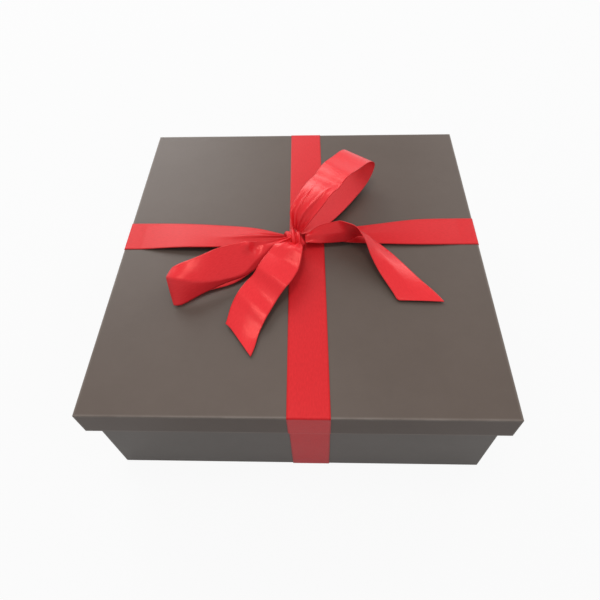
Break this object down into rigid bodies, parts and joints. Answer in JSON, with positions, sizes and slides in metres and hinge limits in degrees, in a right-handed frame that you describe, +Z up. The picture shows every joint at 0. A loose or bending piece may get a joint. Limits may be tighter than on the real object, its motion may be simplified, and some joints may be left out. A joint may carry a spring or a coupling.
{
  "type": "gift box",
  "caption": "Square gift box with a lift-off lid, covered in dark satin paper, wrapped crosswise with a red ribbon tied in a bow on top.",
  "frame": {"origin": "under the middle of the box, on the surface it stands on", "axes": "+Z up, -Y out of the front of the box (the side nearest the viewer in the picture), +X to its right"},
  "size_m": [0.2548, 0.2548, 0.1207],
  "materials": {
    "covering_paper": "satin",
    "lining_paper": "matte",
    "greyboard": "matte",
    "stay_tape": "matte",
    "ribbon": "satin"
  },
  "bodies": {
    "base": {"base_back_board": "greyboard", "base_bottom_board": "greyboard", "base_corner_stay_back_left": "stay_tape", "base_corner_stay_back_right": "stay_tape", "base_corner_stay_front_left": "stay_tape", "base_corner_stay_front_right": "stay_tape", "base_covering_paper": "covering_paper", "base_front_board": "greyboard", "base_left_board": "greyboard", "base_lining_paper": "lining_paper", "base_ribbon_back": "ribbon", "base_ribbon_front": "ribbon", "base_ribbon_left": "ribbon", "base_ribbon_right": "ribbon", "base_ribbon_under_cross": "ribbon", "base_ribbon_under_long": "ribbon", "base_right_board": "greyboard"},
    "lid": {"bow_knot": "ribbon", "bow_loop_back": "ribbon", "bow_loop_left": "ribbon", "bow_tail_front": "ribbon", "bow_tail_right": "ribbon", "lid_back_board": "greyboard", "lid_corner_stay_back_left": "stay_tape", "lid_corner_stay_back_right": "stay_tape", "lid_corner_stay_front_left": "stay_tape", "lid_corner_stay_front_right": "stay_tape", "lid_covering_paper": "covering_paper", "lid_front_board": "greyboard", "lid_left_board": "greyboard", "lid_lining_paper": "lining_paper", "lid_ribbon_left": "ribbon", "lid_ribbon_left_drop": "ribbon", "lid_ribbon_long": "ribbon", "lid_ribbon_right": "ribbon", "lid_ribbon_right_drop": "ribbon", "lid_right_board": "greyboard", "lid_top_board": "greyboard"}
  },
  "joints": [
    {"name": "lid_lift", "type": "slide", "parent": "base", "child": "lid", "axis": [0, 0, 1], "range_m": [0, 0.15]}
  ]
}
